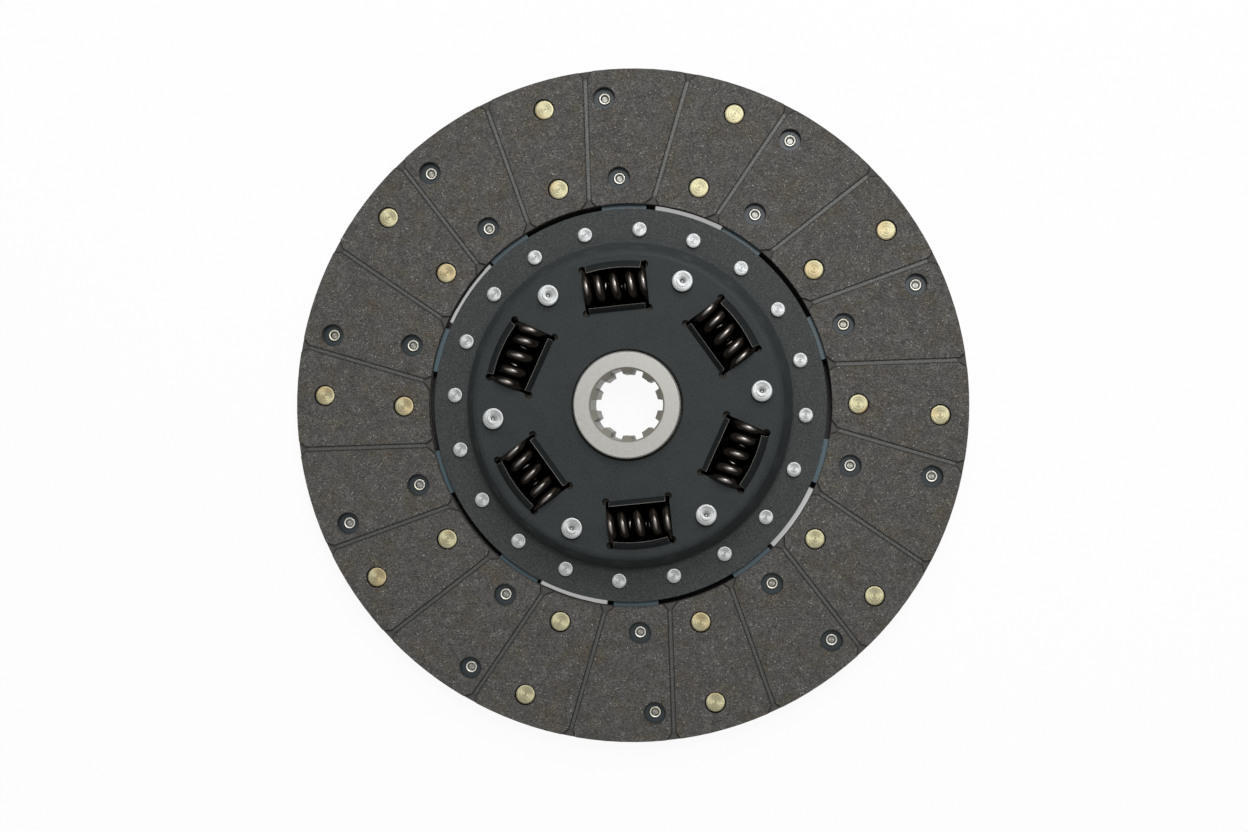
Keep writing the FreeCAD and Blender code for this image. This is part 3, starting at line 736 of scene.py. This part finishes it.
def add_lamp(name, place, size, power):
    """Square soft lamp that faces the disc."""
    aim = (-Vector(place)).to_track_quat("-Z", "Y").to_euler()
    bpy.ops.object.light_add(type="AREA", location=place, rotation=aim)
    lamp = bpy.context.object
    lamp.name = name
    lamp.data.size = size
    lamp.data.energy = power


def light_the_sky(scene, strength):
    """Even white light, which the camera, metal and glass see as a plain white background."""
    sky = bpy.data.worlds.new("sky")
    sky.use_nodes = True
    sky.node_tree.nodes.clear()
    lit = add_node(sky, "MapRange", {"Value": background_rays(sky), "To Min": strength, "To Max": 1.0})
    background = add_node(sky, "Background", {"Color": WHITE, "Strength": lit})
    add_node(sky, "OutputWorld", {"Surface": background})
    scene.world = sky


class CLUTCHDISC_OT_facings(bpy.types.Operator):
    """Dress the two friction facings"""

    bl_idname = "clutchdisc.facings"
    bl_label = "Facings"

    def execute(self, context):
        dress_nodes(moulded_lining(context.scene.clutch_colours), "front_facing", "rear_facing")
        return {"FINISHED"}


class CLUTCHDISC_OT_facing_rivets(bpy.types.Operator):
    """Turn the brass rivets of both facings, with flat heads and rolled hollow ends"""

    bl_idname = "clutchdisc.facing_rivets"
    bl_label = "Facing Rivets"

    def execute(self, context):
        sizes = context.scene.clutch_sizes
        tints = context.scene.clutch_colours
        brass = lathe_finish("brass_head", tints.brass, 0.5, warmer=tints.copper, most=0.7)
        rolled = lathe_finish("rolled_brass", tints.rolled, 0.42, warmer=tints.brass, most=0.5, hollow=1.7)
        profile = in_metres([
            (0.1, 11.5), (1.4, 11.5), (1.65, 11.3), (1.65, 10.3), (1.85, 9.92), (2.15, 9.75), (2.5, 9.7),
            (2.8, 9.76), (3.03, 9.98), (3.1, 10.3), (3.1, 10.48), (2.4, 10.5), (2.4, 12.8), (4.72, 12.8),
            (4.75, 12.86), (4.75, 13.82), (4.7, 13.94), (4.58, 14.0), (3.4, 14.0), (3.25, 13.985),
            (3.1, 14.0), (1.95, 14.0), (1.8, 13.985), (1.65, 14.0), (0.6, 14.0), (0.1, 13.98),
        ])
        inner = turned("inner_rivet", profile, polar(sizes.inner_rivet_circle, INNER_RIVET_ANGLE))
        outer = turned("outer_rivet", profile, polar(sizes.outer_rivet_circle, OUTER_RIVET_ANGLE))
        front = ring_of(inner, len(PADDLES)) + ring_of(outer, len(PADDLES))
        over = Matrix.Translation((0, 0, 2 * PADDLE_MIDDLE_Z)) @ Matrix.Diagonal((1, -1, -1, 1))
        about_paddle = Matrix.Rotation(math.radians(2 * PADDLE_ANGLE), 4, "Z")
        rear = [copied(rivet, about_paddle @ over) for rivet in front]
        front = joined(front, "brass_rivets_front")
        rear = joined(rear, "brass_rivets_rear")
        finish_piece(front, brass, "disc", "brass_rivet", "front_facing_rivets")
        finish_piece(rear, rolled, "disc", "brass_rivet", "rear_facing_rivets")
        return {"FINISHED"}


class CLUTCHDISC_OT_plates(bpy.types.Operator):
    """Dress the dished drive plate and the retainer plate"""

    bl_idname = "clutchdisc.plates"
    bl_label = "Plates"

    def execute(self, context):
        dress_nodes(hardened_sheet(context.scene.clutch_colours), "drive_plate", "retainer_plate")
        return {"FINISHED"}


class CLUTCHDISC_OT_paddles(bpy.types.Operator):
    """Dress the cushion paddles between the facings"""

    bl_idname = "clutchdisc.paddles"
    bl_label = "Cushion Paddles"

    def execute(self, context):
        dress_nodes(blued_spring_sheet(context.scene.clutch_colours), *PADDLES)
        return {"FINISHED"}


class CLUTCHDISC_OT_plate_rivets(bpy.types.Operator):
    """Turn the rivets that hold the paddles to the drive plate"""

    bl_idname = "clutchdisc.plate_rivets"
    bl_label = "Plate Rivets"

    def execute(self, context):
        sizes = context.scene.clutch_sizes
        profile = in_metres([
            (0.1, 7.8), (3.2, 7.82), (3.5, 7.95), (3.6, 8.2), (3.6, 9.5), (2.5, 9.5), (2.5, 13.4),
            (3.58, 13.4), (3.6, 13.45), (3.6, 14.75), (3.54, 14.97), (3.35, 15.08), (3.0, 15.1),
            (1.75, 15.1), (1.55, 15.085), (1.35, 15.1), (0.5, 15.1), (0.1, 15.09),
        ])
        rivet = turned("plate_rivet", profile, polar(sizes.plate_rivet_circle, PLATE_RIVET_ANGLE))
        rivets = joined(ring_of(rivet, PLATE_RIVETS), "plated_rivets")
        plated = lathe_finish("plated_rivet", context.scene.clutch_colours.plated, 0.48)
        finish_piece(rivets, plated, "disc", "zinc_steel", "plate_rivets")
        return {"FINISHED"}


class CLUTCHDISC_OT_stop_pins(bpy.types.Operator):
    """Turn the stop pins, whose front heads are dimpled"""

    bl_idname = "clutchdisc.stop_pins"
    bl_label = "Stop Pins"

    def execute(self, context):
        sizes = context.scene.clutch_sizes
        profile = in_metres([
            (0.1, 11.9), (1.3, 11.7), (1.5, 11.6), (4.6, 11.62), (4.95, 11.8), (5.1, 12.1), (5.1, 14.6),
            (3.8, 14.6), (3.8, 17.6), (5.0, 17.6), (5.0, 26.4), (3.8, 26.4), (3.8, 29.4), (5.08, 29.4),
            (5.1, 29.45), (5.1, 32.0), (5.02, 32.22), (4.8, 32.36), (4.5, 32.4), (3.3, 32.4), (3.1, 32.38),
            (2.9, 32.4), (1.3, 32.4), (1.1, 32.3), (0.95, 32.0), (0.75, 31.6), (0.35, 31.4), (0.1, 31.38),
        ])
        pin = turned("stop_pin", profile, polar(sizes.pin_circle, PIN_ANGLE))
        pins = joined(ring_of(pin, WINDOWS), "plated_stop_pins")
        plated = lathe_finish("plated_pin", context.scene.clutch_colours.plated, 0.46)
        finish_piece(pins, plated, "disc", "zinc_steel", "stop_pins")
        return {"FINISHED"}


class CLUTCHDISC_OT_springs(bpy.types.Operator):
    """Wind the nested damper springs from round wire"""

    bl_idname = "clutchdisc.springs"
    bl_label = "Damper Springs"

    def execute(self, context):
        sizes = context.scene.clutch_sizes
        wire = spring_wire(context.scene.clutch_colours)
        outer = wound_spring(
            sizes, sizes.wire_radius, sizes.coil_radius, turns=2.4, open_turns=1.0, hand=1
        )
        inner = wound_spring(
            sizes, sizes.inner_wire_radius, sizes.inner_coil_radius, turns=3.5, open_turns=2.6, hand=-1
        )
        fill_windows(outer, "coil_spring", "damper_spring", wire)
        fill_windows(inner, "inner_coil_spring", "inner_spring", wire)
        return {"FINISHED"}


def wound_spring(sizes, wire_radius, coil_radius, turns, open_turns, hand):
    """Spring at +X: round wire screwed along Y, with closed coils at its ends, ground flat.

    Both numbers of turns are counted from its middle each way.
    """
    deselect_all()
    bpy.ops.mesh.primitive_circle_add(vertices=WIRE_SIDES, radius=wire_radius)
    spring = bpy.context.object
    spring.data.transform(Matrix.Translation((coil_radius, 0, 0)))
    screw = spring.modifiers.new("winding", "SCREW")
    screw.axis = "Y"
    screw.angle = 2 * math.pi * 2 * turns
    screw.steps = screw.render_steps = round(2 * turns * COIL_STEPS)
    screw.use_merge_vertices = False
    bpy.ops.object.modifier_apply(modifier="winding")
    spring.data.transform(Matrix.Rotation(-2 * math.pi * turns - math.pi / 2, 4, "Y"))
    spread_coils(spring, sizes, wire_radius, turns, open_turns, hand)
    bpy.ops.object.mode_set(mode="EDIT")
    for side in (-1, 1):
        end = (0, side * sizes.spring_half_length, 0)
        bpy.ops.mesh.select_all(action="SELECT")
        bpy.ops.mesh.bisect(plane_co=end, plane_no=(0, side, 0), use_fill=True, clear_outer=True)
    bpy.ops.mesh.select_all(action="SELECT")
    bpy.ops.mesh.normals_make_consistent(inside=False)
    bpy.ops.object.mode_set(mode="OBJECT")
    spring.data.transform(Matrix.Translation((sizes.spring_circle, 0, sizes.spring_height)))
    bpy.ops.object.shade_smooth_by_angle(angle=WIRE_BEND)
    return spring


def spread_coils(spring, sizes, wire_radius, turns, open_turns, hand):
    """Moves each ring of the wire along the spring: open in the middle, closed at the ends."""
    closed_pitch = 2 * wire_radius + sizes.coil_gap
    open_length = sizes.spring_half_length + GROUND_SHARE * wire_radius - closed_pitch * (turns - open_turns)
    rings = len(spring.data.vertices) // WIRE_SIDES - 1
    for vertex in spring.data.vertices:
        turn = turns * (2 * (vertex.index // WIRE_SIDES) / rings - 1)
        distance = open_length * min(abs(turn) / open_turns, 1.0)
        distance += closed_pitch * max(abs(turn) - open_turns, 0.0)
        vertex.co.y += hand * math.copysign(distance, turn)


def fill_windows(first, name, node, wire):
    """Puts a copy of a spring in each window."""
    for number in range(WINDOWS):
        angle = WINDOW_ANGLE + 360.0 / WINDOWS * number
        spring = copied(first, Matrix.Rotation(math.radians(angle), 4, "Z"))
        spring.name = f"{name}_{number + 1}"
        finish_piece(spring, wire, "disc", "spring_steel", f"{node}_{number + 1}")
        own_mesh(spring)
    bpy.data.objects.remove(first)


class CLUTCHDISC_OT_hub(bpy.types.Operator):
    """Dress the splined hub"""

    bl_idname = "clutchdisc.hub"
    bl_label = "Hub"

    def execute(self, context):
        dress_nodes(ground_steel(context.scene.clutch_colours), "hub")
        return {"FINISHED"}


class CLUTCHDISC_OT_washers(bpy.types.Operator):
    """Dress the friction rings and the wave washer inside"""

    bl_idname = "clutchdisc.washers"
    bl_label = "Washers"

    def execute(self, context):
        tints = context.scene.clutch_colours
        dress_nodes(friction_ring_finish(tints), "front_friction_washer", "rear_friction_washer")
        dress_nodes(blued_spring_sheet(tints), "wave_washer")
        return {"FINISHED"}


OPERATORS = (
    CLUTCHDISC_OT_stage,
    CLUTCHDISC_OT_facings,
    CLUTCHDISC_OT_facing_rivets,
    CLUTCHDISC_OT_plates,
    CLUTCHDISC_OT_paddles,
    CLUTCHDISC_OT_plate_rivets,
    CLUTCHDISC_OT_stop_pins,
    CLUTCHDISC_OT_springs,
    CLUTCHDISC_OT_hub,
    CLUTCHDISC_OT_washers,
)


class CLUTCHDISC_PT_panel(bpy.types.Panel):
    """Pieces of the clutch disc, with their sizes and colours"""

    bl_idname = "CLUTCHDISC_PT_panel"
    bl_label = "Clutch Disc"
    bl_space_type = "VIEW_3D"
    bl_region_type = "UI"
    bl_category = "Clutch Disc"

    def draw(self, context):
        scene = context.scene
        for operator in OPERATORS:
            self.layout.operator(operator.bl_idname)
        for group in (scene.clutch_sizes, scene.clutch_colours, scene.clutch_stage):
            box = self.layout.box()
            for name in group.bl_rna.properties.keys():
                if name not in ("rna_type", "name"):
                    box.prop(group, name)


CLASSES = (DiscSizes, DiscColours, StageSettings, *OPERATORS, CLUTCHDISC_PT_panel)


def register():
    """Registers the classes and gives the scene its settings."""
    for item in CLASSES:
        bpy.utils.register_class(item)
    bpy.types.Scene.clutch_sizes = PointerProperty(type=DiscSizes)
    bpy.types.Scene.clutch_colours = PointerProperty(type=DiscColours)
    bpy.types.Scene.clutch_stage = PointerProperty(type=StageSettings)


def unregister():
    """Takes the settings and the classes away again."""
    del bpy.types.Scene.clutch_stage
    del bpy.types.Scene.clutch_colours
    del bpy.types.Scene.clutch_sizes
    for item in reversed(CLASSES):
        bpy.utils.unregister_class(item)


def main():
    """Builds the stage and every piece."""
    register()
    bpy.ops.clutchdisc.stage()
    bpy.ops.clutchdisc.facings()
    bpy.ops.clutchdisc.facing_rivets()
    bpy.ops.clutchdisc.plates()
    bpy.ops.clutchdisc.paddles()
    bpy.ops.clutchdisc.plate_rivets()
    bpy.ops.clutchdisc.stop_pins()
    bpy.ops.clutchdisc.springs()
    bpy.ops.clutchdisc.hub()
    bpy.ops.clutchdisc.washers()


if __name__ == "__main__":
    main()
